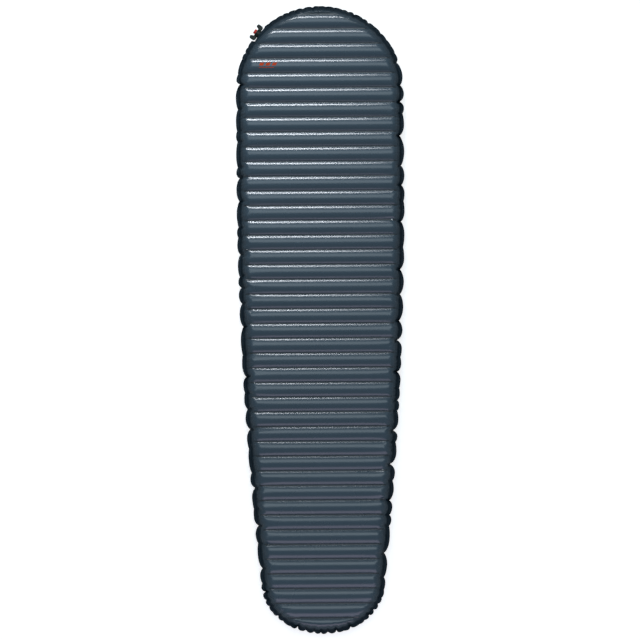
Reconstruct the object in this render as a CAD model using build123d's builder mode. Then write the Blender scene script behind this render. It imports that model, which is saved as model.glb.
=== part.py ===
from build123d import *
import os
from math import cos, radians, sin, sqrt

os.makedirs("parts", exist_ok=True)

# Inflated mummy sleeping pad with a twist-lock valve, in millimetres.
# Y runs from the foot to the head, X across the pad and Z up; Z = 0 is the ground.

# Outline, measured to the outer edge of the perimeter weld
LENGTH = 1830.0
HALF_WIDTH = 245.0
HEAD_CENTRE_Y = LENGTH / 2 - HALF_WIDTH
TAPER_START_Y = 400.0
FOOT_HALF_WIDTH = 180.0
FOOT_CAP_DEPTH = 135.0
TAPER_END_Y = FOOT_CAP_DEPTH - LENGTH / 2
TAPER_SLOPE = 2 * (HALF_WIDTH - FOOT_HALF_WIDTH) / (TAPER_START_Y - TAPER_END_Y)
QUARTER_ARC = 0.5523  # control length of a Bezier quarter ellipse
FLANGE_WIDTH = 10.0

# Tubes: the welds cross the pad, and each tube is an arc between two of them
WELD_COUNT = 42
WELD_PITCH = 42.75
WELD_WIDTH = 4.5
FIRST_WELD_Y = LENGTH / 2 - 26.7
CROWN_RISE = 32.0
WELD_RISE = 25.0
CROWN_FLAT = 0.4  # how much of the lowest crowns is pressed flat by the ground
SEAM_Z = CROWN_RISE - CROWN_FLAT
HALF_CHORD = (WELD_PITCH - WELD_WIDTH) / 2
CROWN_SAGITTA = CROWN_RISE - WELD_RISE
TUBE_RADIUS = (HALF_CHORD**2 + CROWN_SAGITTA**2) / (2 * CROWN_SAGITTA)

# Sheets and films
SHEET = 1.0
FILM = 0.5
EDGE_RADIUS = 31.0  # how the tube ends round down to the seam
EDGE_RISE = CROWN_RISE + 1.0
CORE_INSET = 36.0
CORE_HEAD_INSET = 22.0
BOAT_WRAP = 5.0  # how far in the sheets are drawn out over the valve's boat

# Valve: its axis lies in the seam plane, pointing out of the head's left side.
# Stations are measured along the axis, outwards from the boat's outer face.
VALVE_POLAR = 137.0
VALVE_HEADING = 144.5
VALVE_BASE_RADIUS = 238.0
NOTCH_HALF_WIDTH = 29.0  # the weld is cut back here, so that the wings can turn

BOAT_HALF_WIDTH = 28.0
BOAT_HALF_HEIGHT = 11.8
BOAT_DEPTH = 12.0
SOCKET_RADIUS = 9.65

BARREL_FOOT = -15.0
BARREL_TOP = 10.6
BARREL_BORE = 7.6
LEDGE_BORE = 7.2
ROOT_RADIUS = 9.6
SLEEVE_RADIUS = 8.9
SHOULDER_RADIUS = 11.0
SHOULDER_TOP = 1.2
BEAD_RADIUS = 10.2
BEAD_FOOT = -12.9
SLOT_BOTTOM = 3.25
SLOT_WIDTH = 2.1

# Grooves in the barrel: lower station, upper station and floor radius
ROOT_GROOVE = (-7.2, -5.8, 8.45)
COLLAR_GROOVE = (1.6, 2.7, 8.1)
RING_GROOVE = (9.05, 9.75, 8.2)

# O-rings: the radius to the middle of the cord, and the cord's own radius
BARREL_O_RING = (9.05, 0.58)
COLLAR_O_RING = (8.57, 0.43)

SEAT_BOTTOM = -7.6
SEAT_TOP = -6.2
SEAT_OPENING = 5.4
SEAT_CHAMFER = 0.5
FLAP_TOP = -7.65
FLAP_THICKNESS = 0.75
FLAP_RADIUS = 6.4
BUTTON_RADIUS = 2.4
BUTTON_HEIGHT = 1.0
PEG_RADIUS = 0.8
PEG_DEPTH = 3.0

PLUNGER_FOOT = -2.5
GUIDE_RADIUS = 7.5
GUIDE_TOP = 13.0
NIPPLE_RADIUS = 7.0
NIPPLE_TIP = 19.0
TIP_FILLET = 0.5
MOUTH_RADIUS = 5.6
STEM_RADIUS = 1.8
SPIDER_THICKNESS = 1.5
ARM_WIDTH = 1.4
PIN_RADIUS = 0.9
PIN_STATION = 7.3
PIN_REACH = 10.0
PIN_INSET = 0.1

COLLAR_BORE = 9.05
COLLAR_RADIUS = 11.2
COLLAR_FOOT = 1.35
COLLAR_TOP = 12.2
COLLAR_FILLET = 0.8
LIP_BOTTOM = 10.8
LIP_BORE = 7.65
RING_RADIUS = 9.6
RING_PLAY = 0.05
RING_GAP = 3.0
RING_RECESS = 9.75
RING_RECESS_PLAY = 0.1
TRAVEL = 3.0  # of the plunger, over the collar's quarter turn
TURN = 90.0
TRACK_RADIUS = 10.15
TRACK_WIDTH = 2.2
TRACK_OVERRUN = 8.0  # degrees past each end of the turn, for the pin's own width
WING_ROOT = 10.2
WING_TIP = 24.0
WING_FOOT = 2.4
WING_TOP = 21.5
WING_THICKNESS = 5.0
WING_FILLET = 1.2
FINGER_DISH = 0.6


def outline(inset, head_inset=None):
    """The pad's outline, drawn inset from its outer edge: a half-round head,
    sides that taper on one long arc, and a blunt rounded foot. With its own
    inset, the head is half an ellipse."""
    wide = HALF_WIDTH - inset
    narrow = FOOT_HALF_WIDTH - inset
    depth = FOOT_CAP_DEPTH - inset
    tall = HALF_WIDTH - (head_inset or inset)
    with BuildSketch() as sketch:
        with BuildLine():
            if tall == wide:
                CenterArc((0, HEAD_CENTRE_Y), wide, 0, 90)
            else:
                EllipticalCenterArc((0, HEAD_CENTRE_Y), wide, tall)
            Line((wide, HEAD_CENTRE_Y), (wide, TAPER_START_Y))
            TangentArc((wide, TAPER_START_Y), (narrow, TAPER_END_Y), tangent=(0, -1))
            Bezier(
                (narrow, TAPER_END_Y),
                (narrow - TAPER_SLOPE * QUARTER_ARC * depth, TAPER_END_Y - QUARTER_ARC * depth),
                (QUARTER_ARC * narrow, TAPER_END_Y - depth),
                (0, TAPER_END_Y - depth),
            )
            Line((0, TAPER_END_Y - depth), (0, HEAD_CENTRE_Y + tall))
        make_face()
        mirror(about=Plane.YZ)
    return sketch.sketch


def corrugation(inset):
    """Half the pad's section along Y, above the seam: an arc over each tube and a flat at each weld."""
    radius = TUBE_RADIUS - inset
    crown = SEAM_Z + CROWN_RISE - inset
    weld = SEAM_Z + WELD_RISE - inset
    half = sqrt(radius**2 - (radius - crown + weld) ** 2)
    first_crown = FIRST_WELD_Y + WELD_PITCH / 2
    last_crown = FIRST_WELD_Y - (WELD_COUNT - 0.5) * WELD_PITCH
    with BuildSketch() as sketch:
        with BuildLine():
            for tube in range(WELD_COUNT + 1):
                middle = first_crown - tube * WELD_PITCH
                ThreePointArc((middle + half, weld), (middle, crown), (middle - half, weld))
                if tube < WELD_COUNT:
                    Line((middle - half, weld), (middle - WELD_PITCH + half, weld))
            Polyline(
                (last_crown - half, weld),
                (last_crown - half, SEAM_Z),
                (first_crown + half, SEAM_Z),
                (first_crown + half, weld),
            )
        make_face()
    return sketch.sketch


def folds():
    """The upper film's section along Y: a flat at each weld above, and one on the middle film between."""
    high = SEAM_Z + WELD_RISE - SHEET
    low = SEAM_Z + FILM / 2 + FILM
    ridge = []
    for weld in range(WELD_COUNT):
        top = FIRST_WELD_Y - weld * WELD_PITCH
        foot = top - WELD_PITCH / 2
        ridge += [(top + WELD_WIDTH / 2, high), (top - WELD_WIDTH / 2, high)]
        if weld < WELD_COUNT - 1:
            ridge += [(foot + WELD_WIDTH / 2, low), (foot - WELD_WIDTH / 2, low)]
    under = [(along, height - FILM) for along, height in reversed(ridge)]
    with BuildSketch() as sketch:
        with BuildLine():
            Polyline(*ridge, *under, close=True)
        make_face()
    return sketch.sketch


def chamber(inset):
    """The air space above the seam, drawn inset from the sheet's outer face."""
    with BuildPart() as body:
        with BuildSketch(Plane.XY.offset(SEAM_Z)):
            add(outline(FLANGE_WIDTH + inset))
        extrude(amount=EDGE_RISE - inset)
        fillet(body.faces().sort_by(Axis.Z)[-1].edges(), EDGE_RADIUS - inset)
        with BuildSketch(Plane.YZ.offset(-HALF_WIDTH)):
            add(corrugation(inset))
        extrude(amount=2 * HALF_WIDTH, mode=Mode.INTERSECT)
    return body.part


def save(piece, name):
    piece.label = name
    export_step(piece, f"parts/{name}.step")


# Valve frame
valve_base = Vector(
    VALVE_BASE_RADIUS * cos(radians(VALVE_POLAR)),
    HEAD_CENTRE_Y + VALVE_BASE_RADIUS * sin(radians(VALVE_POLAR)),
    SEAM_Z,
)
valve_out = Vector(cos(radians(VALVE_HEADING)), sin(radians(VALVE_HEADING)), 0)
valve_side = Vector(sin(radians(VALVE_HEADING)), -cos(radians(VALVE_HEADING)), 0)
valve_axis = Axis(valve_base, valve_out)
# X of this plane is the distance from the axis, and Y is the station
valve_section = Plane(origin=valve_base, x_dir=valve_side, z_dir=valve_side.cross(valve_out))


def across(station):
    """The plane across the valve's axis at a station, with X along the seam."""
    return Plane(origin=valve_base + valve_out * station, x_dir=valve_side, z_dir=valve_out)


def boat_profile(margin):
    """The boat-shaped section that spreads the two sheets apart at the valve."""
    half_width = BOAT_HALF_WIDTH + margin
    half_height = BOAT_HALF_HEIGHT + margin
    with BuildSketch() as sketch:
        with BuildLine():
            ThreePointArc((-half_width, 0), (0, half_height), (half_width, 0))
            ThreePointArc((-half_width, 0), (0, -half_height), (half_width, 0))
        make_face()
    return sketch.sketch


def turned(*steps):
    """A ring turned from a closed section whose corners are (radius, station)."""
    with BuildPart() as body:
        with BuildSketch(valve_section):
            with BuildLine():
                Polyline(*steps, close=True)
            make_face()
        revolve(axis=valve_axis)
    return body.part


def o_ring(station, size):
    radius, cord_radius = size
    with BuildPart() as body:
        with BuildSketch(valve_section):
            with Locations((radius, station)):
                Circle(cord_radius)
        revolve(axis=valve_axis)
    return body.part


def track():
    """The helical channel that turns the collar's quarter turn into the plunger's travel."""
    lead = TRAVEL * 360 / TURN
    overrun = lead * TRACK_OVERRUN / 360
    depth = TRACK_RADIUS - BARREL_BORE
    with BuildPart() as body:
        with BuildLine() as path:
            Helix(lead, TRAVEL + 2 * overrun, TRACK_RADIUS - depth / 2)
        with BuildSketch(Plane(origin=path.line @ 0, x_dir=(1, 0, 0), z_dir=path.line % 0)):
            Rectangle(depth, TRACK_WIDTH)
        sweep(path=path.line, is_frenet=True)
    placed = body.part.rotate(Axis.Z, -TRACK_OVERRUN)
    return placed.moved(across(PIN_STATION - TRAVEL - overrun).location)


def wing():
    """One wing, with a shallow dish for the finger on each face."""
    width = WING_TIP - COLLAR_RADIUS
    with BuildPart() as body:
        with BuildSketch(valve_section) as profile:
            with BuildLine():
                FilletPolyline(
                    (WING_ROOT, WING_FOOT),
                    (WING_TIP, WING_FOOT),
                    (WING_TIP, WING_TOP),
                    (COLLAR_RADIUS + 0.3 * width, WING_TOP),
                    (COLLAR_RADIUS, COLLAR_TOP),
                    (WING_ROOT, COLLAR_TOP),
                    radius=[0.5 * width, 0.4 * width, 0.15 * width, 0.1 * width],
                )
                Line((WING_ROOT, COLLAR_TOP), (WING_ROOT, WING_FOOT))
            make_face()
        extrude(amount=WING_THICKNESS / 2, both=True)
        rim = body.faces().filter_by(Axis.Z).edges().filter_by(clear_of_collar)
        fillet(rim, WING_FILLET)
        for face in (1, -1):
            with BuildSketch(valve_section.offset(face * WING_THICKNESS / 2)):
                with Locations((COLLAR_RADIUS + 0.55 * width, (WING_FOOT + WING_TOP) / 2)):
                    Ellipse(0.25 * width, 0.45 * width)
            extrude(amount=-face * FINGER_DISH, mode=Mode.SUBTRACT)
    return body.part


def clear_of_collar(edge):
    return (edge.center() - valve_base).dot(valve_side) > COLLAR_RADIUS


pin_plane = Plane(origin=valve_base + valve_out * PIN_STATION, x_dir=valve_side, z_dir=(0, 0, 1))

# Top sheet: the tube crowns, their rounded ends and the upper half of the perimeter weld
outer_chamber = chamber(0)
inner_chamber = chamber(SHEET)
with BuildPart() as top_sheet:
    add(outer_chamber)
    with BuildSketch(Plane.XY.offset(SEAM_Z)):
        add(outline(0))
    extrude(amount=SHEET)
    with BuildSketch(across(-BOAT_WRAP)):
        add(boat_profile(SHEET))
    extrude(amount=BOAT_WRAP)
    add(inner_chamber, mode=Mode.SUBTRACT)
    with BuildSketch(across(-BOAT_DEPTH)):
        add(boat_profile(0))
    extrude(amount=BOAT_DEPTH, mode=Mode.SUBTRACT)
    with BuildSketch(across(0)):
        Rectangle(2 * NOTCH_HALF_WIDTH, 2 * CROWN_RISE)
    extrude(amount=2 * FLANGE_WIDTH, mode=Mode.SUBTRACT)
    split(bisect_by=Plane.XY.offset(SEAM_Z), keep=Keep.TOP)
save(top_sheet.part, "top_sheet")

# Bottom sheet: the same sheet turned over, its crowns pressed flat on the ground
with BuildPart() as bottom_sheet:
    add(top_sheet.part.mirror(Plane.XY.offset(SEAM_Z)))
    split(bisect_by=Plane.XY, keep=Keep.TOP)
save(bottom_sheet.part, "bottom_sheet")

# Core: one flat film with a folded film welded above and below it
with BuildPart() as core_middle_film:
    with BuildSketch(Plane.XY.offset(SEAM_Z)):
        add(outline(CORE_INSET, CORE_HEAD_INSET))
    extrude(amount=FILM / 2, both=True)
save(core_middle_film.part, "core_middle_film")

with BuildPart() as core_upper_film:
    with BuildSketch(Plane.XY.offset(SEAM_Z)):
        add(outline(CORE_INSET, CORE_HEAD_INSET))
    extrude(amount=CROWN_RISE)
    with BuildSketch(Plane.YZ.offset(-HALF_WIDTH)):
        add(folds())
    extrude(amount=2 * HALF_WIDTH, mode=Mode.INTERSECT)
save(core_upper_film.part, "core_upper_film")

with BuildPart() as core_lower_film:
    add(core_upper_film.part.mirror(Plane.XY.offset(SEAM_Z)))
save(core_lower_film.part, "core_lower_film")

# Valve boat: the weld base that the two sheets close on
with BuildPart() as valve_boat:
    with BuildSketch(across(-BOAT_DEPTH)):
        add(boat_profile(0))
        Circle(SOCKET_RADIUS, mode=Mode.SUBTRACT)
    extrude(amount=BOAT_DEPTH)
save(valve_boat.part, "valve_boat")

# Valve barrel: snaps into the boat, and guides the plunger and the collar
with BuildPart() as valve_barrel:
    root_low, root_high, root_floor = ROOT_GROOVE
    seal_low, seal_high, seal_floor = COLLAR_GROOVE
    ring_low, ring_high, ring_floor = RING_GROOVE
    add(
        turned(
            (LEDGE_BORE, BARREL_FOOT),
            (LEDGE_BORE, SEAT_BOTTOM),
            (BARREL_BORE, SEAT_BOTTOM),
            (BARREL_BORE, BARREL_TOP),
            (SLEEVE_RADIUS, BARREL_TOP),
            (SLEEVE_RADIUS, ring_high),
            (ring_floor, ring_high),
            (ring_floor, ring_low),
            (SLEEVE_RADIUS, ring_low),
            (SLEEVE_RADIUS, seal_high),
            (seal_floor, seal_high),
            (seal_floor, seal_low),
            (SLEEVE_RADIUS, seal_low),
            (SLEEVE_RADIUS, SHOULDER_TOP),
            (SHOULDER_RADIUS, SHOULDER_TOP),
            (SHOULDER_RADIUS, 0),
            (ROOT_RADIUS, 0),
            (ROOT_RADIUS, root_high),
            (root_floor, root_high),
            (root_floor, root_low),
            (ROOT_RADIUS, root_low),
            (ROOT_RADIUS, -BOAT_DEPTH),
            (BEAD_RADIUS, -BOAT_DEPTH),
            (BEAD_RADIUS, BEAD_FOOT),
            (SLEEVE_RADIUS, BARREL_FOOT),
        )
    )
    with BuildSketch(across(SLOT_BOTTOM)):
        Rectangle(SLOT_WIDTH, 3 * SLEEVE_RADIUS)
    extrude(amount=BARREL_TOP, mode=Mode.SUBTRACT)
save(valve_barrel.part, "valve_barrel")

with BuildPart() as barrel_o_ring:
    add(o_ring((root_low + root_high) / 2, BARREL_O_RING))
save(barrel_o_ring.part, "barrel_o_ring")

with BuildPart() as collar_o_ring:
    add(o_ring((seal_low + seal_high) / 2, COLLAR_O_RING))
save(collar_o_ring.part, "collar_o_ring")

# Valve seat: a ring on a ledge inside the barrel, with a raised rim for the flap
with BuildPart() as valve_seat:
    add(
        turned(
            (SEAT_OPENING, SEAT_BOTTOM),
            (BARREL_BORE, SEAT_BOTTOM),
            (BARREL_BORE, SEAT_TOP),
            (SEAT_OPENING + SEAT_CHAMFER, SEAT_TOP),
            (SEAT_OPENING, SEAT_TOP - SEAT_CHAMFER),
        )
    )
save(valve_seat.part, "valve_seat")

# Check flap: a silicone disc that lets air in and not out
with BuildPart() as check_flap:
    with BuildSketch(across(FLAP_TOP - FLAP_THICKNESS)):
        Circle(FLAP_RADIUS)
        Circle(PEG_RADIUS, mode=Mode.SUBTRACT)
    extrude(amount=FLAP_THICKNESS)
save(check_flap.part, "check_flap")

# Flap button: holds the flap's middle to the plunger's stem
with BuildPart() as flap_button:
    with BuildSketch(across(FLAP_TOP - FLAP_THICKNESS - BUTTON_HEIGHT)):
        Circle(BUTTON_RADIUS)
    extrude(amount=BUTTON_HEIGHT)
    fillet(flap_button.edges().sort_by(valve_axis)[0], BUTTON_HEIGHT / 2)
    with BuildSketch(across(FLAP_TOP - FLAP_THICKNESS)):
        Circle(PEG_RADIUS)
    extrude(amount=FLAP_THICKNESS + PEG_DEPTH)
save(flap_button.part, "flap_button")

# Plunger: the mouthpiece, with a three-armed spider and a stem that carries the flap
with BuildPart() as plunger:
    add(
        turned(
            (MOUTH_RADIUS, PLUNGER_FOOT),
            (GUIDE_RADIUS, PLUNGER_FOOT),
            (GUIDE_RADIUS, GUIDE_TOP),
            (NIPPLE_RADIUS, GUIDE_TOP),
            (NIPPLE_RADIUS, NIPPLE_TIP),
            (MOUTH_RADIUS, NIPPLE_TIP),
        )
    )
    fillet(plunger.edges().filter_by(GeomType.CIRCLE).sort_by(valve_axis)[-2:], TIP_FILLET)
    with BuildSketch(across(PLUNGER_FOOT)):
        with PolarLocations(0, 3, start_angle=90):
            Rectangle((MOUTH_RADIUS + GUIDE_RADIUS) / 2, ARM_WIDTH, align=(Align.MIN, Align.CENTER))
    extrude(amount=SPIDER_THICKNESS)
    with BuildSketch(across(FLAP_TOP)):
        Circle(STEM_RADIUS)
    extrude(amount=PLUNGER_FOOT + SPIDER_THICKNESS - FLAP_TOP)
    with BuildSketch(across(FLAP_TOP)):
        Circle(PEG_RADIUS)
    extrude(amount=PEG_DEPTH, mode=Mode.SUBTRACT)
    with BuildSketch(pin_plane):
        Circle(PIN_RADIUS)
    extrude(amount=PIN_REACH, both=True, mode=Mode.SUBTRACT)
save(plunger.part, "plunger")

# Drive pins: pressed outwards through the plunger's wall, through the barrel's
# slots and into the collar's tracks
with BuildPart() as drive_pins:
    with BuildSketch(pin_plane.offset(MOUTH_RADIUS + PIN_INSET)):
        Circle(PIN_RADIUS)
    extrude(amount=PIN_REACH - MOUTH_RADIUS - PIN_INSET)
    mirror(about=pin_plane)
save(drive_pins.part, "drive_pins")

# Snap ring: keeps the collar on the barrel
with BuildPart() as snap_ring:
    add(
        turned(
            (ring_floor + RING_PLAY, ring_low + RING_PLAY),
            (RING_RADIUS, ring_low + RING_PLAY),
            (RING_RADIUS, ring_high - RING_PLAY),
            (ring_floor + RING_PLAY, ring_high - RING_PLAY),
        )
    )
    with BuildSketch(across(ring_low)):
        with Locations((-SLEEVE_RADIUS, 0)):
            Rectangle(2 * RING_GAP, RING_GAP)
    extrude(amount=ring_high - ring_low, mode=Mode.SUBTRACT)
save(snap_ring.part, "snap_ring")

# Wing collar: a quarter turn drives the pins along its two helical tracks
drive_track = track()
with BuildPart() as wing_collar:
    add(
        turned(
            (COLLAR_BORE, COLLAR_FOOT),
            (COLLAR_RADIUS, COLLAR_FOOT),
            (COLLAR_RADIUS, COLLAR_TOP),
            (LIP_BORE, COLLAR_TOP),
            (LIP_BORE, LIP_BOTTOM),
            (COLLAR_BORE, LIP_BOTTOM),
            (COLLAR_BORE, ring_high + RING_RECESS_PLAY),
            (RING_RECESS, ring_high + RING_RECESS_PLAY),
            (RING_RECESS, ring_low - RING_RECESS_PLAY),
            (COLLAR_BORE, ring_low - RING_RECESS_PLAY),
        )
    )
    fillet(wing_collar.edges().filter_by(GeomType.CIRCLE).sort_by(valve_axis)[-1], COLLAR_FILLET)
    add(wing())
    mirror(wing(), about=Plane(origin=valve_base, x_dir=valve_out, z_dir=valve_side))
    add(drive_track, mode=Mode.SUBTRACT)
    add(drive_track.rotate(valve_axis, 180), mode=Mode.SUBTRACT)
save(wing_collar.part, "wing_collar")
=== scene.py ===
import math

import bpy
import numpy as np
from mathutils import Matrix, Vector


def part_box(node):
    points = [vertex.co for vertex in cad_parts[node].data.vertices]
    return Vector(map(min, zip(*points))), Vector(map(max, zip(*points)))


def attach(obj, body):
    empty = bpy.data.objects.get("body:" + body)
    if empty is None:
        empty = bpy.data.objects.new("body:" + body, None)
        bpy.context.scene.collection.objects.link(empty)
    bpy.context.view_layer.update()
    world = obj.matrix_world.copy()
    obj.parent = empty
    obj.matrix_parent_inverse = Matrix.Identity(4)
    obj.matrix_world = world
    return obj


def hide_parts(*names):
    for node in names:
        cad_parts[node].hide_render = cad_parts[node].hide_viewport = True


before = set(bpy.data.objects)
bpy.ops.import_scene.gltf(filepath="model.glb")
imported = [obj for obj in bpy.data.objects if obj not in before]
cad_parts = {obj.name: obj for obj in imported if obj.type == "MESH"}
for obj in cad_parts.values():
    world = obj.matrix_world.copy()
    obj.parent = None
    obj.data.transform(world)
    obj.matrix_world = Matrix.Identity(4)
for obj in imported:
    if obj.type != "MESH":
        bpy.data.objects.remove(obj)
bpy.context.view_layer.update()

# Inflated mummy sleeping pad, in metres. Y runs from the foot to the head and Z = 0 is the ground.

# ---------------------------------------------------------------- sizes

pad_low, pad_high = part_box("top_sheet")
HALF_WIDTH = pad_high[0]
LENGTH = pad_high[1] - pad_low[1]
SEAM_Z = pad_low[2]
CROWN_RISE = pad_high[2] - SEAM_Z
SHEET = 0.001  # the CAD sheet between the core's film and the weld's outer face
WELD_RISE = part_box("core_upper_film")[1][2] - SEAM_Z + SHEET

HEAD_Y = LENGTH / 2 - HALF_WIDTH  # the centre of the round head
TAPER_START_Y = 0.400
FOOT_HALF_WIDTH = 0.180
FOOT_DEPTH = 0.135
TAPER_END_Y = FOOT_DEPTH - LENGTH / 2
FLANGE = 0.010

WELD_COUNT = 42
WELD_PITCH = 0.04275
WELD_WIDTH = 0.0045
FIRST_WELD_DROP = 0.0267  # from the head's tip
FIRST_WELD_Y = LENGTH / 2 - FIRST_WELD_DROP
HALF_CHORD = (WELD_PITCH - WELD_WIDTH) / 2
SAGITTA = CROWN_RISE - WELD_RISE
TUBE_RADIUS = (HALF_CHORD**2 + SAGITTA**2) / (2 * SAGITTA)

VALVE_POLAR = math.radians(137.0)  # from the head's centre to the valve's base
VALVE_RADIUS = 0.238
VALVE_HEADING = math.radians(144.5)  # the way that the valve points
BOAT_HALF_WIDTH = 0.028
BOAT_HALF_HEIGHT = 0.0118
BOAT_COVER = 0.0006  # how far above the boat the fabric over it lies
valve_base = np.array([VALVE_RADIUS * math.cos(VALVE_POLAR), HEAD_Y + VALVE_RADIUS * math.sin(VALVE_POLAR)])
valve_out = np.array([math.cos(VALVE_HEADING), math.sin(VALVE_HEADING)])
valve_side = np.array([math.sin(VALVE_HEADING), -math.cos(VALVE_HEADING)])

SKIN = 0.0004  # thickness of the coated fabric
GROUND_CLEAR = 0.0001  # the underside's lowest fabric stays this far above the ground

rng = np.random.default_rng(11)


def smooth(value, start, end):
    """0 before start, 1 past end, and a smooth step between."""
    share = np.clip((value - start) / (end - start), 0, 1)
    return share * share * (3 - 2 * share)


# ---------------------------------------------------------------- the outline

OUTLINE_POINTS = 600  # on each of the outline's three stretches
EVEN_STEP = 0.001  # about this far from point to point, once the outline is evened out
ARC_HANDLE = 0.5523  # the share of handle that brings a Bezier curve closest to a quarter ellipse
NEAREST_STEP = 3  # every third point of the outline is close enough to find the nearest by
CHUNK = 4000  # how many places are looked up at a time, which keeps the memory small


def foot_curve(slope):
    """The foot's rounded right corner, from the taper's end to the foot's tip. slope is the taper's
    last one, as width lost over length."""
    corners = np.array(
        [
            (FOOT_HALF_WIDTH, TAPER_END_Y),
            (FOOT_HALF_WIDTH - slope * ARC_HANDLE * FOOT_DEPTH, TAPER_END_Y - ARC_HANDLE * FOOT_DEPTH),
            (ARC_HANDLE * FOOT_HALF_WIDTH, TAPER_END_Y - FOOT_DEPTH),
            (0, TAPER_END_Y - FOOT_DEPTH),
        ]
    )
    share = np.linspace(0, 1, OUTLINE_POINTS)[:, None]
    return (
        (1 - share) ** 3 * corners[0]
        + 3 * share * (1 - share) ** 2 * corners[1]
        + 3 * share**2 * (1 - share) * corners[2]
        + share**3 * corners[3]
    )


def outer_edge():
    """The right half of the outer edge, from the head's tip to the foot's, at an even step:
    places along it, points, unit tangents, and unit normals that point into the pad."""
    around = np.linspace(math.pi / 2, 0, OUTLINE_POINTS)
    head = np.column_stack([HALF_WIDTH * np.cos(around), HEAD_Y + HALF_WIDTH * np.sin(around)])
    drop = TAPER_START_Y - TAPER_END_Y
    narrowing = HALF_WIDTH - FOOT_HALF_WIDTH
    radius = (narrowing**2 + drop**2) / (2 * narrowing)
    sweep = np.linspace(0, math.asin(drop / radius), OUTLINE_POINTS)
    taper_x = HALF_WIDTH - radius * (1 - np.cos(sweep))
    taper_y = TAPER_START_Y - radius * np.sin(sweep)
    foot = foot_curve(2 * narrowing / drop)
    line = np.vstack([head, np.column_stack([taper_x, taper_y]), foot[1:]])
    along = np.concatenate([[0], np.cumsum(np.hypot(*np.diff(line, axis=0).T))])
    even = np.linspace(0, along[-1], int(along[-1] / EVEN_STEP))
    points = np.column_stack([np.interp(even, along, line[:, 0]), np.interp(even, along, line[:, 1])])
    tangents = np.gradient(points, axis=0)
    tangents[0] = (1, 0)
    tangents[-1] = (-1, 0)
    tangents /= np.hypot(*tangents.T)[:, None]
    normals = np.column_stack([tangents[:, 1], -tangents[:, 0]])
    return even, points, tangents, normals


edge_s, edge_p, edge_t, edge_n = outer_edge()
HALF_EDGE = edge_s[-1]


def from_edge(x, y):
    """How far along the outer edge each point lies, from the head's tip, and how far in from it."""
    flat = np.column_stack([np.abs(x).ravel(), y.ravel()])
    near = np.empty(len(flat), int)
    for start in range(0, len(flat), CHUNK):
        chunk = flat[start : start + CHUNK]
        gap = ((chunk[:, None, :] - edge_p[None, ::NEAREST_STEP]) ** 2).sum(axis=2)
        near[start : start + CHUNK] = gap.argmin(axis=1) * NEAREST_STEP
    gap = flat - edge_p[near]
    along = edge_s[near] + (gap * edge_t[near]).sum(axis=1)
    inward = (gap * edge_n[near]).sum(axis=1)
    return along.reshape(x.shape), inward.reshape(x.shape)


def from_valve(x, y):
    """How far out along the valve's axis each point lies, and how far to its side."""
    station = (x - valve_base[0]) * valve_out[0] + (y - valve_base[1]) * valve_out[1]
    across = (x - valve_base[0]) * valve_side[0] + (y - valve_base[1]) * valve_side[1]
    return station, across


def in_valve_corner(x, y):
    """True in the head's left quarter, where the valve is."""
    return (x < 0) & (y > HEAD_Y)


# ---------------------------------------------------------------- the inflated shape

EDGE_REACH = 0.027  # how far in a tube's end takes to climb most of its height
WELD_REACH = 0.023  # the same for a weld
EDGE_REACH_HEAD = 0.018  # and both of them round the head, where they are steeper
WELD_REACH_HEAD = 0.011
HEAD_TURN = (0.05, 0.26)  # along the edge from the head's tip, where the head's reach gives way
TAIL_REACH = 0.065  # how far in a tube still climbs a little
TAIL_SHARE = 0.12  # the share of its height that is left for that
WELD_TAIL_SHARE = 0.06  # the same for a weld
JOIN = 4  # the power that rounds the valley between the boat's cover and the tubes


def weld_phase(y):
    """How many welds down from the first one, in whole welds and parts of one."""
    return (FIRST_WELD_Y - y) / WELD_PITCH


def tube_bump(y):
    """0 on a weld and 1 on a tube's crown, along the tube's arc."""
    phase = weld_phase(y)
    off = np.abs(phase - np.floor(phase) - 0.5) * WELD_PITCH
    arc = np.sqrt(TUBE_RADIUS**2 - np.minimum(off, HALF_CHORD) ** 2) - (TUBE_RADIUS - SAGITTA)
    return arc / SAGITTA


def quarter(inward, reach):
    """A quarter ellipse, from 0 at the seam to 1."""
    return np.sqrt(1 - (1 - np.clip(inward / reach, 0, 1)) ** 2)


def shoulder(inward, reach, tail):
    """A tube's end: it climbs steeply from the seam, and then a little more over a longer way."""
    return (1 - tail) * quarter(inward, reach) + tail * quarter(inward, TAIL_REACH)


def boat_cover(x, y):
    """Height of the fabric over the valve's boat, and 0 away from it."""
    across = from_valve(x, y)[1]
    lens_radius = (BOAT_HALF_WIDTH**2 + BOAT_HALF_HEIGHT**2) / (2 * BOAT_HALF_HEIGHT)
    lens = np.sqrt(np.maximum(lens_radius**2 - across**2, 0)) - (lens_radius - BOAT_HALF_HEIGHT)
    return np.where(in_valve_corner(x, y), np.maximum(lens + BOAT_COVER, 0), 0)


def rise(x, y, along, inward):
    """Height of the fabric above the seam, before its wrinkles. inward is from the perimeter weld."""
    side = smooth(along, *HEAD_TURN)
    crown_reach = EDGE_REACH_HEAD + (EDGE_REACH - EDGE_REACH_HEAD) * side
    weld_reach = WELD_REACH_HEAD + (WELD_REACH - WELD_REACH_HEAD) * side
    crown = CROWN_RISE * shoulder(inward, crown_reach, TAIL_SHARE * side)
    weld = WELD_RISE * shoulder(inward, weld_reach, WELD_TAIL_SHARE * side)
    height = weld + (crown - weld) * tube_bump(y)
    return (height**JOIN + boat_cover(x, y) ** JOIN) ** (1 / JOIN)


# ---------------------------------------------------------------- scallops

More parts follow.
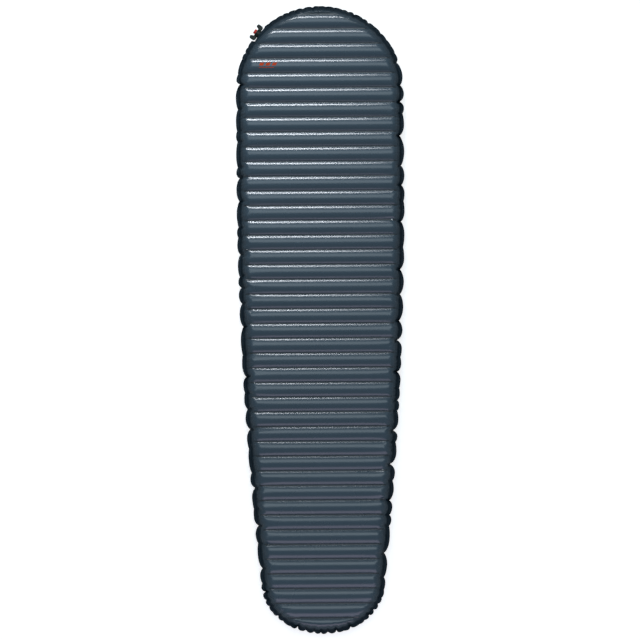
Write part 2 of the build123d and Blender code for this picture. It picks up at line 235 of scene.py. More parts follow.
HEAD_STRETCH = 0.30  # along the edge from the head's tip, where the pinches are close together
FOOT_STRETCH = 0.24  # the same from the foot's tip
HEAD_GAPS = (0.018, 0.030)  # from one pinch to the next
FOOT_GAPS = (0.019, 0.029)
SIDE_GAPS = [0.033, 0.046, 0.062, 0.078]  # about one or two tubes
SIDE_SPREAD = (0.9, 1.1)
WIDEST_GAP = 0.065  # a pinch gets no deeper past this gap
PINCH_SHARE = (0.06, 0.13)  # a pinch's depth, as a share of its gap
PINCH_KINDS = [0.4, 0.8, 1.0, 1.3]  # from a faint pinch to a deep one
HEAD_PINCH = 0.9  # how deep the pinches are round the head, against the sides
FOOT_PINCH = 1.5  # and round the foot
PINCH_CURL = 1.3  # how far a pinch curls up or down, for its depth
FULLNESS = 0.7  # under 1 makes a scallop rounder and its pinches sharper


def pinch_places():
    """Places round the edge where the perimeter weld is pinched in, one or two tubes apart along
    the sides and closer round the head and the foot."""
    places = [0.0]
    while places[-1] < 2 * HALF_EDGE:
        along = min(places[-1], 2 * HALF_EDGE - places[-1])
        if along < HEAD_STRETCH:
            gap = rng.uniform(*HEAD_GAPS)
        elif along > HALF_EDGE - FOOT_STRETCH:
            gap = rng.uniform(*FOOT_GAPS)
        else:
            gap = rng.choice(SIDE_GAPS) * rng.uniform(*SIDE_SPREAD)
        places.append(places[-1] + gap)
    return np.array(places) * 2 * HALF_EDGE / places[-1]


pinches = pinch_places()
pinch_gap = np.diff(pinches)
pinch_depth = np.minimum(pinch_gap, WIDEST_GAP) * rng.uniform(*PINCH_SHARE, len(pinch_gap))
pinch_depth *= rng.choice(PINCH_KINDS, len(pinch_gap))
pinch_along = np.minimum(pinches[1:], 2 * HALF_EDGE - pinches[1:])
pinch_depth *= np.where(pinch_along < HEAD_STRETCH, HEAD_PINCH, 1.0)
pinch_depth *= np.where(pinch_along > HALF_EDGE - FOOT_STRETCH, FOOT_PINCH, 1.0)
pinch_lift = PINCH_CURL * pinch_depth * rng.choice([-1, 1], len(pinch_depth))


def scallop(where):
    """How far the edge is drawn in: nothing between two pinches and sharply at each one."""
    gap = np.clip(np.searchsorted(pinches, where, side="right") - 1, 0, len(pinch_gap) - 1)
    between = np.clip((where - pinches[gap]) / pinch_gap[gap], 0, 1)
    bulge = (4 * between * (1 - between)) ** FULLNESS
    before = np.where(gap > 0, pinch_depth[gap - 1], pinch_depth[-1])
    depth = np.where(between < 0.5, before, pinch_depth[gap])
    return depth * (1 - bulge)


# ---------------------------------------------------------------- creases and puckers

RIPPLES = 9
RIPPLES_HEIGHT = 4  # what nine ripples seldom add up to
SEAM_WAVES = [  # height, wavelengths and seed of the perimeter weld's own waves
    (0.0012, (0.05, 0.12), 5),
    (0.0006, (0.012, 0.022), 6),
]
PINCH_WIDTH = 0.0075
HEAD_CALM = 0.65  # how much shallower the creases are round the head
FOOT_CALM = 0.45  # and round the foot
HEAD_CALM_ENDS = (0.26, 0.42)  # along the edge from the head's tip
FOOT_CALM_ENDS = (0.5, 0.3)  # along the edge from the foot's tip
CREASE_SLANT = 0.8
CREASE_LENGTH = (0.012, 0.026)
CREASE_WIDTH = (0.0028, 0.0042)
CREASE_SPREAD = 0.12  # how fast a crease widens as it runs in
CREASE_DEPTH = 0.0015
CREASE_PULL = 0.35  # the share of its pinch's depth that deepens a crease
# two kinds of pucker: middle is how far in they are deepest, and lean slants them as they run in
FINE = {"depth": 0.0009, "wavelengths": (0.009, 0.015), "lean": -0.25, "middle": 0.007, "width": 0.011}
BROAD = {"depth": 0.0012, "wavelengths": (0.018, 0.034), "lean": 0.6, "middle": 0.014, "width": 0.015}
FINE_SEED, PATCH_SEED, BROAD_SEED = 50, 60, 70
PATCHES = (0.09, 0.2)  # wavelengths of the patches of stronger and fainter fine puckers
PATCH_MEAN = 0.6
PATCH_SWING = 0.4


def wave(where, wavelengths, seed):
    """An irregular ripple round the edge, about from -1 to 1, that closes on itself."""
    draw = np.random.default_rng(seed)
    total = np.zeros_like(where)
    for wavelength in draw.uniform(*wavelengths, RIPPLES):
        turns = round(2 * HALF_EDGE / wavelength)
        total += np.sin(where / HALF_EDGE * math.pi * turns + draw.uniform(0, 2 * math.pi))
    return total / RIPPLES_HEIGHT


def hump(distance, width):
    """1 at no distance, falling to nothing either side."""
    return np.exp(-((distance / width) ** 2))


def seam_lift(where):
    """How far the perimeter weld curls up or down."""
    lift = sum(height * wave(where, wavelengths, seed) for height, wavelengths, seed in SEAM_WAVES)
    for place, height in zip(pinches[1:], pinch_lift):
        lift += height * hump(where - place, PINCH_WIDTH)
    return lift


def puckers(where, inward, seed, depth, wavelengths, lean, middle, width):
    """Ripples round the edge, in a band along it, as a depth."""
    return depth * wave(where + lean * inward, wavelengths, seed) * hump(inward - middle, width)


def calmness(along):
    """The share of their depth that the creases keep, which is less round the head and the foot."""
    head = 1 - smooth(along, *HEAD_CALM_ENDS)
    foot = smooth(along, *(HALF_EDGE - end for end in FOOT_CALM_ENDS))
    return 1 - HEAD_CALM * head - FOOT_CALM * foot


def creases(where, inward, seed):
    """Valleys that run in from each pinch, and fine and broad puckers between them, as a depth."""
    draw = np.random.default_rng(seed)
    depth = np.zeros_like(where)
    for place, pinch in zip(pinches[1:], pinch_depth):
        slant = draw.uniform(-CREASE_SLANT, CREASE_SLANT)
        length = draw.uniform(*CREASE_LENGTH)
        width = draw.uniform(*CREASE_WIDTH)
        across = hump(where - place - slant * inward, width + CREASE_SPREAD * inward)
        depth += (CREASE_DEPTH + CREASE_PULL * pinch) * across * np.exp(-inward / length)
    patches = PATCH_MEAN + PATCH_SWING * wave(where, PATCHES, seed + PATCH_SEED)
    depth += patches * puckers(where, inward, seed + FINE_SEED, **FINE)
    depth += puckers(where, inward, seed + BROAD_SEED, **BROAD)
    return depth * calmness(np.minimum(where, 2 * HALF_EDGE - where))


# ---------------------------------------------------------------- the skins' grid

# rows from a tube's crown to its weld, as shares of that arc
HALF_ARC_STEPS = np.array([0.23, 0.46, 0.66, 0.82, 0.93, 0.985])
ROW_GAP = 0.0034  # the widest gap between rows, along the edge
END_CLEAR = 0.001  # the rows of welds and arcs keep this far from the chamber's tips
FIRST_ROW = 0.0016  # along the edge from the head's tip, and the last row from the foot's
FLANGE_STEPS = np.array([1.0, 0.7, 0.35])  # columns on the flange, as shares of its width
STEEP_BAND = 1.15 * EDGE_REACH  # the band inside the seam that has its columns close together
STEEP_STEPS = 1 - np.cos(np.linspace(0, math.pi / 2, 14))
INNER_STEPS = np.linspace(0, 1, 8)[1:]  # columns from that band to the middle
LEAST_TURN = 0.02  # keeps the band finite where the edge runs straight across the pad


def grid_rows():
    """Places along the edge for the rows of vertices: both sides of every weld, steps up each
    tube's arc, and more wherever the edge runs across the pad."""
    chamber_y = edge_p[:, 1] + FLANGE * edge_n[:, 1]
    swing = math.asin(HALF_CHORD / TUBE_RADIUS)
    arc_steps = np.concatenate([HALF_ARC_STEPS[::-1], [0], -HALF_ARC_STEPS])
    wanted = []
    for weld in range(WELD_COUNT + 1):
        middle = FIRST_WELD_Y - weld * WELD_PITCH
        wanted += [middle + WELD_WIDTH / 2, middle, middle - WELD_WIDTH / 2]
        wanted += [middle - WELD_PITCH / 2 + TUBE_RADIUS * math.sin(swing * step) for step in arc_steps]
    wanted = [y for y in wanted if chamber_y[-1] + END_CLEAR < y < chamber_y[0] - END_CLEAR]
    at = np.interp(-np.array(wanted), -chamber_y, edge_s)
    at = np.concatenate([[FIRST_ROW], at, [HALF_EDGE - FIRST_ROW]])
    places = [at[0]]
    for before, after in zip(at[:-1], at[1:]):
        parts = max(1, math.ceil((after - before) / ROW_GAP))
        places += list(np.linspace(before, after, parts + 1)[1:])
    return np.array(places)


def flat_grid():
    """The flat places of a skin's vertices: rows across the pad, and columns from the flange's
    left edge to its right one. Returns x, y, each row's place along the edge, the flange share,
    each column's side (-1 left, 1 right) and each row's normal at the edge."""
    places = grid_rows()
    point = np.column_stack([np.interp(places, edge_s, edge_p[:, axis]) for axis in (0, 1)])
    normal = np.column_stack([np.interp(places, edge_s, edge_n[:, axis]) for axis in (0, 1)])
    normal /= np.hypot(*normal.T)[:, None]
    chamber = point + FLANGE * normal
    band = STEEP_BAND / np.maximum(np.abs(normal[:, 0]), LEAST_TURN)
    band = np.minimum(band, chamber[:, 0] / 2)
    half = []
    for share in FLANGE_STEPS:
        half.append(chamber - share * FLANGE * normal)
    for step in STEEP_STEPS:
        half.append(np.column_stack([chamber[:, 0] - band * step, chamber[:, 1]]))
    for step in INNER_STEPS:
        half.append(np.column_stack([(chamber[:, 0] - band) * (1 - step), chamber[:, 1]]))
    right = np.stack(half[::-1], axis=1)
    left = right[:, :0:-1] * (-1, 1)
    whole = np.concatenate([left, right], axis=1)
    share = np.concatenate([FLANGE_STEPS, np.zeros(len(half) - len(FLANGE_STEPS))])
    share = np.concatenate([share, share[-2::-1]])
    side = np.sign(np.arange(whole.shape[1]) - whole.shape[1] // 2)
    return whole[..., 0], whole[..., 1], places, np.broadcast_to(share, whole.shape[:2]), side, normal


grid_x, grid_y, row_s, flange_share, column_side, row_normal = flat_grid()
grid_along, grid_inward = from_edge(grid_x, grid_y)
grid_inward = np.maximum(grid_inward - FLANGE, 0)
on_flange = flange_share > 0
grid_along = np.where(on_flange, row_s[:, None], grid_along)
grid_inward = np.where(on_flange, 0, grid_inward)
grid_where = np.where(column_side[None] >= 0, grid_along, 2 * HALF_EDGE - grid_along)


# ---------------------------------------------------------------- the skins' shape

EDGE_SOFT = 0.045  # how far in the scalloped edge moves the fabric
FLANGE_PULL = 1.1  # how much more the flange's outer edge is drawn in than its root
WING_CLEAR = 0.0246  # the flange starts this far to each side of the valve, clear of its wings
NOTCH_CORNER = 0.004
VALVE_CALM = (0.030, 0.050)  # no scallop or crease nearer the valve, and whole ones further away
CREASE_START = (-0.001, 0.003)  # how far in the creases begin
CURL_REACH = 0.012  # how far in the seam's curl dies away
CURL_ROOT = 0.35  # the curl's share at the flange's root, and what its outer edge adds
CURL_FLANGE = 1.1


def cut_at_valve(x, y):
    """Draws the flange back to the boat's outer face where the valve comes out."""
    station, across = from_valve(x, y)
    near = in_valve_corner(x, y) & (station > 0)
    keep = smooth(np.abs(across), WING_CLEAR, WING_CLEAR + NOTCH_CORNER)
    back = np.where(near, station * (1 - keep), 0)
    return x - back * valve_out[0], y - back * valve_out[1]


def grid_normals(points):
    """Unit normals of a grid of points, upwards."""
    across = np.gradient(points, axis=1)
    down = np.gradient(points, axis=0)
    normal = np.cross(down, across)
    normal /= np.maximum(np.linalg.norm(normal, axis=2), 1e-12)[..., None]
    return normal * np.where(normal[..., 2:3] < 0, -1, 1)


def skin_points(side, seed):
    """The outer surface of a skin as a grid of points. side is 1 for the top and -1 for the bottom."""
    away = smooth(np.hypot(grid_x - valve_base[0], grid_y - valve_base[1]), *VALVE_CALM)
    pull = scallop(grid_where) * (1 - smooth(grid_inward, 0, EDGE_SOFT))
    pull = pull * away * (1 + FLANGE_PULL * flange_share)
    x, y = cut_at_valve(grid_x, grid_y)
    x = x + pull * row_normal[:, 0:1] * column_side
    y = y + pull * row_normal[:, 1:2]
    height = rise(grid_x, grid_y, grid_along, grid_inward)
    height = np.where(on_flange, boat_cover(grid_x, grid_y), height)
    points = np.stack([x, y, side * height], -1)
    depth = creases(grid_where, grid_inward, seed) * away
    depth = np.where(on_flange, 0, depth) * smooth(grid_inward, *CREASE_START)
    points -= depth[..., None] * side * grid_normals(points)
    curl = seam_lift(grid_where) * away * np.exp(-grid_inward / CURL_REACH)
    points[..., 2] += curl * (CURL_ROOT + CURL_FLANGE * flange_share) + side * SKIN + SEAM_Z
    points[..., 2] = np.maximum(points[..., 2], GROUND_CLEAR)
    return points


# ---------------------------------------------------------------- the skins' faces

RIM_SHADE = 0.026  # how far in from the seam the painted shade of the steep tube ends reaches
EDGE_CLOTH = 0.0070  # how far in the steep foot of the tube ends is as dull as the flange
BORDER_CLOTH = 0.0115  # and how far in the cloth is still rubbed half dull
WELD_MARGIN = 0.0002
WELD_ENDS = 0.012  # a weld's darker line, partly painted shade, stops this far short of the seam


def grid_faces(rows, columns):
    """Quads over a grid, and the quads that close its first and last rows onto themselves."""
    first = np.arange(rows * columns).reshape(rows, columns)
    quads = np.stack([first[:-1, :-1], first[1:, :-1], first[1:, 1:], first[:-1, 1:]], -1)
    faces = [tuple(quad) for quad in quads.reshape(-1, 4)]
    half = columns // 2
    for row, turn in ((first[0], 1), (first[-1], -1)):
        for column in range(half):
            if column == half - 1:
                tip = (row[column], row[column + 1], row[column + 2])
            else:
                tip = (row[column], row[column + 1], row[columns - 2 - column], row[columns - 1 - column])
            faces.append(tip[::turn])
    return faces


def grid_rim(rows, columns):
    """The outline that is left when the first and last rows are closed, as vertex numbers in order."""
    first = np.arange(rows * columns).reshape(rows, columns)
    return list(first[:, 0]) + list(first[::-1, -1])


def shell_faces(rows, columns, side):
    """The faces of a closed shell: a grid, a second grid behind it, and the wall between them."""
    count = rows * columns
    outer = grid_faces(rows, columns)
    inner = [tuple(vertex + count for vertex in face[::-1]) for face in outer]
    rim = grid_rim(rows, columns)
    wall = [(rim[i - 1], rim[i], rim[i] + count, rim[i - 1] + count) for i in range(len(rim))]
    faces = outer + inner + wall
    return [face[::-1] for face in faces] if side > 0 else faces


def store_shares(mesh):
    """Stores what the materials read at each vertex: how much it is on a weld, on the flange and
    near the rim, its place round the edge, and how far in it lies."""
    phase = weld_phase(grid_y)
    off = np.abs(phase - np.round(phase)) * WELD_PITCH
    on_weld = (off < WELD_WIDTH / 2 + WELD_MARGIN) & (grid_inward > WELD_ENDS)
    on_weld &= (phase > -0.5) & (phase < WELD_COUNT - 0.5)
    shares = {
        "weld": on_weld.astype(float),
        "flange": flange_share,
        # the rim share sets how strong the painted shade is near the seam, and how strong the gathers are
        "rim": np.clip(1 - grid_inward / RIM_SHADE, 0, 1),
        "around": grid_where,
        "inward": grid_inward,
    }
    for label, share in shares.items():
        layer = mesh.attributes.new(label, "FLOAT", "POINT")
        layer.data.foreach_set("value", np.tile(np.asarray(share, float).ravel(), 2))


def assign_cloths(mesh):
    """Gives each face its material: 0 is the cloth, 1 its half dull border and 2 its dull edge."""
    dulled = (grid_inward < EDGE_CLOTH).astype(int) + (grid_inward < BORDER_CLOTH)
    corners = np.zeros(len(mesh.loops), int)
    mesh.loops.foreach_get("vertex_index", corners)
    starts = np.zeros(len(mesh.polygons), int)
    mesh.polygons.foreach_get("loop_start", starts)
    at_corners = np.tile(dulled.ravel(), 2)[corners]
    mesh.polygons.foreach_set("material_index", np.minimum.reduceat(at_corners, starts))


def link_piece(name, data):
    """A new object of a mesh, lamp or camera, in the scene."""
    piece = bpy.data.objects.new(name, data)
    bpy.context.collection.objects.link(piece)
    return piece


def skin_piece(name, side, seed):
    """A closed skin of even thickness, with its vertex shares and its faces' materials."""
    outer = skin_points(side, seed)
    inner = outer - side * SKIN * grid_normals(outer)
    both = np.concatenate([outer.reshape(-1, 3), inner.reshape(-1, 3)])
    faces = [[int(vertex) for vertex in face] for face in shell_faces(*outer.shape[:2], side)]
    mesh = bpy.data.meshes.new(name)
    mesh.from_pydata(both.tolist(), [], faces)
    mesh.validate()
    mesh.update()
    store_shares(mesh)
    mesh.shade_smooth()
    assign_cloths(mesh)
    return link_piece(name, mesh)


# ---------------------------------------------------------------- materials

class Surface:
    """A new node material, with short ways to add to it. Values are numbers, colours or sockets."""

    def __init__(self, name):
        self.material = bpy.data.materials.new(name)
        self.material.use_nodes = True
        self.nodes = self.material.node_tree.nodes
        self.links = self.material.node_tree.links
        self.shader = self.nodes["Principled BSDF"].inputs
        self.place = self.nodes.new("ShaderNodeTexCoord").outputs["Object"]

    def feed(self, socket, value):
        """Sets a socket to a number or a colour, or links another node's output to it."""
        if isinstance(value, (int, float)):
            socket.default_value = value
        elif isinstance(value, tuple):
            socket.default_value = (*value, 1)
        else:
            self.links.new(value, socket)

    def noise(self, place, scale, detail, stretch=(1, 1, 1)):
        """Soft clouds, from 0 to 1. A stretch under 1 draws them out along that axis."""
        mapping = self.nodes.new("ShaderNodeMapping")
        mapping.inputs["Scale"].default_value = stretch
        self.links.new(place, mapping.inputs["Vector"])
        texture = self.nodes.new("ShaderNodeTexNoise")
        texture.inputs["Scale"].default_value = scale
        texture.inputs["Detail"].default_value = detail
        self.links.new(mapping.outputs["Vector"], texture.inputs["Vector"])
        return texture.outputs["Fac"]

    def bands(self, scale, direction):
        """Even straight bands, from 0 to 1, that follow one another along an axis."""
        texture = self.nodes.new("ShaderNodeTexWave")
        texture.bands_direction = direction
        texture.inputs["Scale"].default_value = scale
        texture.inputs["Distortion"].default_value = 0.0
        self.links.new(self.place, texture.inputs["Vector"])
        return texture.outputs["Fac"]

    def maths(self, operation, *values):
        node = self.nodes.new("ShaderNodeMath")
        node.operation = operation
        for socket, value in zip(node.inputs, values):
            self.feed(socket, value)
        return node.outputs[0]

    def times(self, first, second):
        return self.maths("MULTIPLY", first, second)

    def mix(self, factor, first, second):
        """A mix of two colours. The mix node has its colours on sockets 6 and 7, and out on 2."""
        node = self.nodes.new("ShaderNodeMix")
        node.data_type = "RGBA"
        self.feed(node.inputs[0], factor)
        self.feed(node.inputs[6], first)
        self.feed(node.inputs[7], second)
        return node.outputs[2]

    def attribute(self, name):
        """What store_shares keeps at each vertex under this name."""
        node = self.nodes.new("ShaderNodeAttribute")
        node.attribute_name = name
        return node.outputs["Fac"]

    def bump(self, height, distance, strength, onto=None):
        node = self.nodes.new("ShaderNodeBump")
        node.inputs["Strength"].default_value = strength
        node.inputs["Distance"].default_value = distance
        self.links.new(height, node.inputs["Height"])
        if onto:
            self.links.new(onto, node.inputs["Normal"])
        return node.outputs["Normal"]

    def uneven(self, cloud, middle, swing):
        """A value that wanders with cloud, by half of swing each way from middle."""
        return self.maths("MULTIPLY_ADD", cloud, swing, middle - swing / 2)


THREADS = 1200.0  # scales of the weave's threads and of the coarser ripstop grid over it
RIPSTOP = 62.0
RIPSTOP_LINE = 0.985  # nearer 1 makes the grid's lines thinner
THREAD_RISE = 0.35
RIPSTOP_RISE = 0.5
WEAVE_DEPTH = 0.00002
GATHERS = 190.0  # scale of the fine gathers round the rim
GATHER_DEPTH = 0.0022
GATHER_LENGTH = 0.3  # under 1 draws each gather out towards the pad's middle
FLANGE_STARTS = 0.12  # the flange share past which the cloth has the flange's colour
CLOUD_SHARE = 0.65  # how much of the cloth's change of tone is cloudy; the rest is streaky
WELD_SHADE = 0.8  # how dark a weld is, from the cloth's own tone to the shade colour: partly the weld's own darker tone, partly painted shade in its groove between tubes
RIM_PAINTED_SHADE = 0.95  # how dark the painted shade gets at the rim, where the tube ends fall steeply to the seam


def weave_normal(cloth):
    """The bump of the threads and the ripstop, and of the gathers that fade away from the rim."""
    threads = cloth.maths("ADD", cloth.bands(THREADS, "X"), cloth.bands(THREADS, "Y"))
    ripstop = cloth.maths("MAXIMUM", cloth.bands(RIPSTOP, "X"), cloth.bands(RIPSTOP, "Y"))
    ripstop = cloth.maths("GREATER_THAN", ripstop, RIPSTOP_LINE)
    texture = cloth.maths("ADD", cloth.times(threads, THREAD_RISE), cloth.times(ripstop, RIPSTOP_RISE))
    woven = cloth.bump(texture, distance=WEAVE_DEPTH, strength=0.02)
    around = cloth.nodes.new("ShaderNodeCombineXYZ")
    cloth.feed(around.inputs["X"], cloth.attribute("around"))
    cloth.feed(around.inputs["Y"], cloth.times(cloth.attribute("inward"), GATHER_LENGTH))
    gathers = cloth.noise(around.outputs["Vector"], scale=GATHERS, detail=2.0)
    gathers = cloth.times(gathers, cloth.attribute("rim"))
    return cloth.bump(gathers, distance=GATHER_DEPTH, strength=0.8, onto=woven)


def coated_fabric(name, light, dark, flange, shade, roughness, coat, sheen, gloss):
    """Ripstop nylon with a smooth coating, darker on its own flange, darker on its welds (partly their own
    tone, partly painted shade in the grooves), and with painted shade towards its rim.
    """
    cloth = Surface(name)
    cloud = cloth.noise(cloth.place, scale=7.0, detail=4.0)
    streak = cloth.noise(cloth.place, scale=60.0, detail=2.0, stretch=(0.05, 1, 1))
    tone = cloth.maths("ADD", cloth.times(cloud, CLOUD_SHARE), cloth.times(streak, 1 - CLOUD_SHARE))
    colour = cloth.mix(tone, dark, light)
    # the welds: partly their own darker tone, partly painted shade in the grooves between the tubes
    colour = cloth.mix(cloth.times(cloth.attribute("weld"), WELD_SHADE), colour, shade)
    # painted shade, darkest at the rim, where the tube ends fall steeply to the seam
    colour = cloth.mix(cloth.times(cloth.attribute("rim"), RIM_PAINTED_SHADE), colour, shade)
    past_seam = cloth.maths("GREATER_THAN", cloth.attribute("flange"), FLANGE_STARTS)
    cloth.feed(cloth.shader["Base Color"], cloth.mix(past_seam, colour, flange))
    cloth.feed(cloth.shader["Roughness"], cloth.uneven(cloud, roughness, swing=0.08))
    cloth.feed(cloth.shader["Normal"], weave_normal(cloth))
    cloth.feed(cloth.shader["Sheen Weight"], sheen)
    cloth.feed(cloth.shader["Sheen Roughness"], 0.4)
    cloth.feed(cloth.shader["Coat Weight"], coat)
    cloth.feed(cloth.shader["Coat Roughness"], 0.15)
    cloth.feed(cloth.shader["Specular IOR Level"], gloss)
    return cloth.material


def plain_surface(name, colour, worn, roughness, grain=900.0, depth=0.00002, metallic=0.0, gloss=0.5):
    """Moulded, turned or rubbery material: a slight change of tone, a fine grain and light wear."""
    plain = Surface(name)
    cloud = plain.noise(plain.place, scale=160.0, detail=4.0)
    plain.feed(plain.shader["Base Color"], plain.mix(cloud, colour, worn))
    plain.feed(plain.shader["Roughness"], plain.uneven(cloud, roughness, swing=0.16))
    fine = plain.noise(plain.place, scale=grain, detail=3.0)
    plain.feed(plain.shader["Normal"], plain.bump(fine, distance=depth, strength=0.5))
    plain.feed(plain.shader["Metallic"], metallic)
    plain.feed(plain.shader["Specular IOR Level"], gloss)
    return plain.material


# light, dark and flange colours of each cloth, and shade, the painted shade colour of its rim and, in part,
# of its welds
SLATE = (0.038, 0.074, 0.106), (0.030, 0.060, 0.087), (0.017, 0.029, 0.040), (0.007, 0.015, 0.022)
CHARCOAL = (0.020, 0.023, 0.027), (0.015, 0.017, 0.020), (0.009, 0.011, 0.013), (0.006, 0.008, 0.010)
top_cloth = coated_fabric("top_cloth", *SLATE, roughness=0.27, coat=0.0, sheen=0.05, gloss=0.85)
top_border = coated_fabric("top_border_cloth", *SLATE, roughness=0.36, coat=0.0, sheen=0.02, gloss=0.42)
top_edge = coated_fabric("top_edge_cloth", *SLATE, roughness=0.52, coat=0.0, sheen=0.0, gloss=0.08)
bottom_cloth = coated_fabric("bottom_cloth", *CHARCOAL, roughness=0.50, coat=0.1, sheen=0.1, gloss=0.4)
bottom_border = coated_fabric(
    "bottom_border_cloth", *CHARCOAL, roughness=0.52, coat=0.05, sheen=0.05, gloss=0.3
)
bottom_edge = coated_fabric("bottom_edge_cloth", *CHARCOAL, roughness=0.55, coat=0.0, sheen=0.0, gloss=0.2)

# main and worn colour of each plain surface
FILM = (0.55, 0.56, 0.58), (0.62, 0.63, 0.65)
BOAT_BLACK = (0.006, 0.008, 0.009), (0.011, 0.013, 0.014)
BARREL_BLACK = (0.007, 0.008, 0.008), (0.013, 0.014, 0.014)
RUBBER = (0.008, 0.008, 0.009), (0.014, 0.014, 0.015)
SEAT_GREY = (0.05, 0.05, 0.05), (0.07, 0.07, 0.07)
SILICONE = (0.42, 0.44, 0.44), (0.50, 0.52, 0.52)
BUTTON_GREY = (0.045, 0.045, 0.045), (0.06, 0.06, 0.06)
RED = (0.62, 0.020, 0.008), (0.70, 0.035, 0.018)
PIN_STEEL = (0.50, 0.50, 0.49), (0.58, 0.58, 0.57)
RING_STEEL = (0.42, 0.42, 0.43), (0.52, 0.52, 0.52)
WING_BLACK = (0.006, 0.011, 0.009), (0.014, 0.022, 0.018)
ORANGE = (0.60, 0.060, 0.010), (0.50, 0.050, 0.010)

film = plain_surface("metal_film", *FILM, roughness=0.28, grain=400.0, depth=0.0001, metallic=0.9)
node_finish = {
    "core_upper_film": film,
    "core_middle_film": film,
    "core_lower_film": film,
    "valve_boat": plain_surface("boat_moulding", *BOAT_BLACK, roughness=0.50, gloss=0.3),
    "valve_barrel": plain_surface("barrel_moulding", *BARREL_BLACK, roughness=0.42, gloss=0.3),
    "barrel_o_ring": plain_surface("root_rubber", *RUBBER, roughness=0.62),
    "collar_o_ring": plain_surface("collar_rubber", *RUBBER, roughness=0.62),
    "valve_seat": plain_surface("seat_moulding", *SEAT_GREY, roughness=0.45),
    "check_flap": plain_surface("flap_silicone", *SILICONE, roughness=0.38),
    "flap_button": plain_surface("button_moulding", *BUTTON_GREY, roughness=0.45),
    "plunger": plain_surface("red_moulding", *RED, roughness=0.36, grain=700.0),
    "drive_pins": plain_surface(
        "pin_metal", *PIN_STEEL, roughness=0.25, grain=1200.0, depth=0.00001, metallic=1.0
    ),
    "snap_ring": plain_surface(
        "ring_metal", *RING_STEEL, roughness=0.28, grain=1200.0, depth=0.00001, metallic=1.0
    ),
    "wing_collar": plain_surface("wing_moulding", *WING_BLACK, roughness=0.34, grain=700.0, gloss=0.3),
}
for node, finish in node_finish.items():
    for material_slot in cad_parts[node].material_slots:
        material_slot.material = finish


# ---------------------------------------------------------------- pieces

top_skin = skin_piece("top_skin", side=1, seed=21)
for cloth in (top_cloth, top_border, top_edge):
    top_skin.data.materials.append(cloth)
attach(top_skin, "pad")
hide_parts("top_sheet")

bottom_skin = skin_piece("bottom_skin", side=-1, seed=34)
for cloth in (bottom_cloth, bottom_border, bottom_edge):
    bottom_skin.data.materials.append(cloth)
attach(bottom_skin, "pad")
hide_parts("bottom_sheet")


# ---------------------------------------------------------------- printed mark

MARK_LEFT = -0.176
MARK_WIDTH = 0.060
MARK_TUBE = 3  # counted from the first weld
MARK_INK = 0.00012  # how far the ink stands above the cloth, and reaches into it
BAR_COUNT = 3
BAR_WIDTH = MARK_WIDTH / 5
BAR_PITCH = 1.55 * BAR_WIDTH
BAR_HEIGHT = 0.0085
BAR_LEAN = 0.004
BAR_GRID = (8, 5)  # vertices across and up
RULE_DROP = 0.0062  # from the bars' foot to the rule's lower edge
RULE_WIDTH = 0.72 * MARK_WIDTH
RULE_HEIGHT = 0.0016
RULE_GRID = (16, 3)


def cloth_height(x, y):
    """Height of the top skin's outer face, before its creases."""
    along, inward = from_edge(x, y)
    return rise(x, y, along, inward - FLANGE) + SEAM_Z + SKIN


def ink_bar(low_left, width, height, lean, grid):
    """A slanted bar of ink that follows the fabric: vertices and faces."""
    across, up = np.meshgrid(np.linspace(0, 1, grid[0]), np.linspace(0, 1, grid[1]), indexing="ij")
    x = low_left[0] + across * width + up * lean
    y = low_left[1] + up * height
    z = cloth_height(x, y)
    outer = np.stack([x, y, z + MARK_INK], -1).reshape(-1, 3)
    inner = np.stack([x, y, z - MARK_INK], -1).reshape(-1, 3)
    count = grid[0] * grid[1]
    first = np.arange(count).reshape(grid)
    quads = np.stack([first[:-1, :-1], first[1:, :-1], first[1:, 1:], first[:-1, 1:]], -1).reshape(-1, 4)
    ring = list(first[0, :]) + list(first[1:, -1]) + list(first[-1, -2::-1]) + list(first[-2:0:-1, 0])
    faces = [quad.tolist() for quad in quads]
    faces += [(quad[::-1] + count).tolist() for quad in quads]
    for i in range(len(ring)):
        here, before = int(ring[i]), int(ring[i - 1])
        faces.append([here, before, before + count, here + count])
    return np.concatenate([outer, inner]), faces


def printed_mark():
    """A plain stand-in for the maker's print: three slanted bars over a thin rule."""
    foot = FIRST_WELD_Y - (MARK_TUBE + 0.5) * WELD_PITCH
    shapes = []
    for i in range(BAR_COUNT):
        shapes.append(ink_bar((MARK_LEFT + BAR_PITCH * i, foot), BAR_WIDTH, BAR_HEIGHT, BAR_LEAN, BAR_GRID))
    shapes.append(ink_bar((MARK_LEFT, foot - RULE_DROP), RULE_WIDTH, RULE_HEIGHT, 0.0, RULE_GRID))
    points, faces = [], []
    for shape_points, shape_faces in shapes:
        faces += [[vertex + len(points) for vertex in face] for face in shape_faces]
        points += shape_points.tolist()
    mesh = bpy.data.meshes.new("printed_mark")
    mesh.from_pydata(points, [], faces)
    mesh.update()
    return link_piece("printed_mark", mesh)


mark = printed_mark()
mark.data.materials.append(plain_surface("orange_ink", *ORANGE, roughness=0.60, gloss=0.15))
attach(mark, "pad")


# ---------------------------------------------------------------- floor, light and camera

FLOOR_HALF = 14.0
FLOOR_DROP = 0.0004  # keeps the floor just under the pad's lowest fabric
FLOOR_GLOW = 0.67


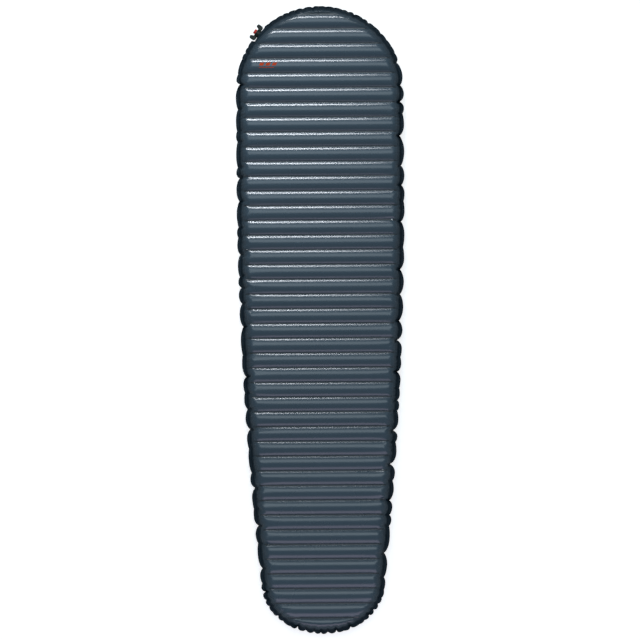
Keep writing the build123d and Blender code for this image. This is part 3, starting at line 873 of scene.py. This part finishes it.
def make_floor():
    """A white studio floor, which glows a little and doesn't show in the pad's gloss."""
    corners = [(x * FLOOR_HALF, y * FLOOR_HALF, 0) for x, y in ((-1, -1), (1, -1), (1, 1), (-1, 1))]
    mesh = bpy.data.meshes.new("floor")
    mesh.from_pydata(corners, [], [(0, 1, 2, 3)])
    piece = link_piece("floor", mesh)
    piece.location.z = -FLOOR_DROP
    piece.visible_glossy = False
    paint = Surface("floor_paint")
    tone = paint.noise(paint.place, scale=3.0, detail=2.0)
    paint.feed(paint.shader["Base Color"], paint.mix(tone, (0.86, 0.86, 0.86), (0.90, 0.90, 0.90)))
    paint.feed(paint.shader["Roughness"], 0.9)
    paint.feed(paint.shader["Specular IOR Level"], 0.1)
    paint.feed(paint.shader["Emission Color"], (1, 1, 1))
    paint.feed(paint.shader["Emission Strength"], FLOOR_GLOW)
    paint.material.cycles.emission_sampling = "NONE"
    mesh.materials.append(paint.material)
    return piece


def area_light(name, place, aim, size, radiance, colour, spread=None):
    """A rectangular lamp that faces aim. radiance is its brightness as the pad's gloss shows it,
    and spread, in degrees, narrows its beam as a honeycomb grid does."""
    lamp = bpy.data.lights.new(name, "AREA")
    lamp.shape = "RECTANGLE"
    lamp.size, lamp.size_y = size
    lamp.energy = radiance * math.pi * size[0] * size[1]
    lamp.color = colour
    if spread:
        half = math.radians(spread / 2)
        lamp.spread = 2 * half
        lamp.energy *= 1 - half / math.tan(half)
    piece = link_piece(name, lamp)
    piece.location = place
    piece.rotation_mode = "QUATERNION"
    piece.rotation_quaternion = (Vector(aim) - Vector(place)).to_track_quat("-Z", "Y")


make_floor()
area_light(
    "head_strip",
    place=(-0.55, 2.10, 0.84),
    aim=(-0.38, 0.45, 0.05),
    size=(1.35, 0.13),
    radiance=88.0,
    colour=(0.89, 0.94, 1.0),
    spread=32,
)
area_light(
    "overhead",
    place=(0, 2.5, 6.0),
    aim=(0, 0, 0),
    size=(4.5, 3.6),
    radiance=1.5,
    colour=(0.80, 0.93, 1.0),
)
area_light(
    "foot_fill",
    place=(0.1, -2.3, 0.95),
    aim=(0, -0.5, 0.05),
    size=(1.6, 1.1),
    radiance=1.1,
    colour=(0.89, 0.76, 1.0),
)

world = bpy.data.worlds.new("studio")
world.use_nodes = True
sky = world.node_tree.nodes["Background"].inputs
sky["Color"].default_value = (0.78, 0.91, 1.0, 1)
sky["Strength"].default_value = 0.32
bpy.context.scene.world = world
bpy.context.scene.view_settings.view_transform = "Standard"

CAMERA_X = -0.004
CAMERA_HEIGHT = 6.0
CAMERA_TURN = math.radians(-0.4)
VIEW_SIZE = 1.865  # what the camera's square frame covers at the seam's height
camera_data = bpy.data.cameras.new("camera")
camera_data.lens = camera_data.sensor_width * (CAMERA_HEIGHT - SEAM_Z) / VIEW_SIZE
camera = link_piece("camera", camera_data)
camera.location = (CAMERA_X, 0.0, CAMERA_HEIGHT)
camera.rotation_euler = (0, 0, CAMERA_TURN)
bpy.context.scene.camera = camera
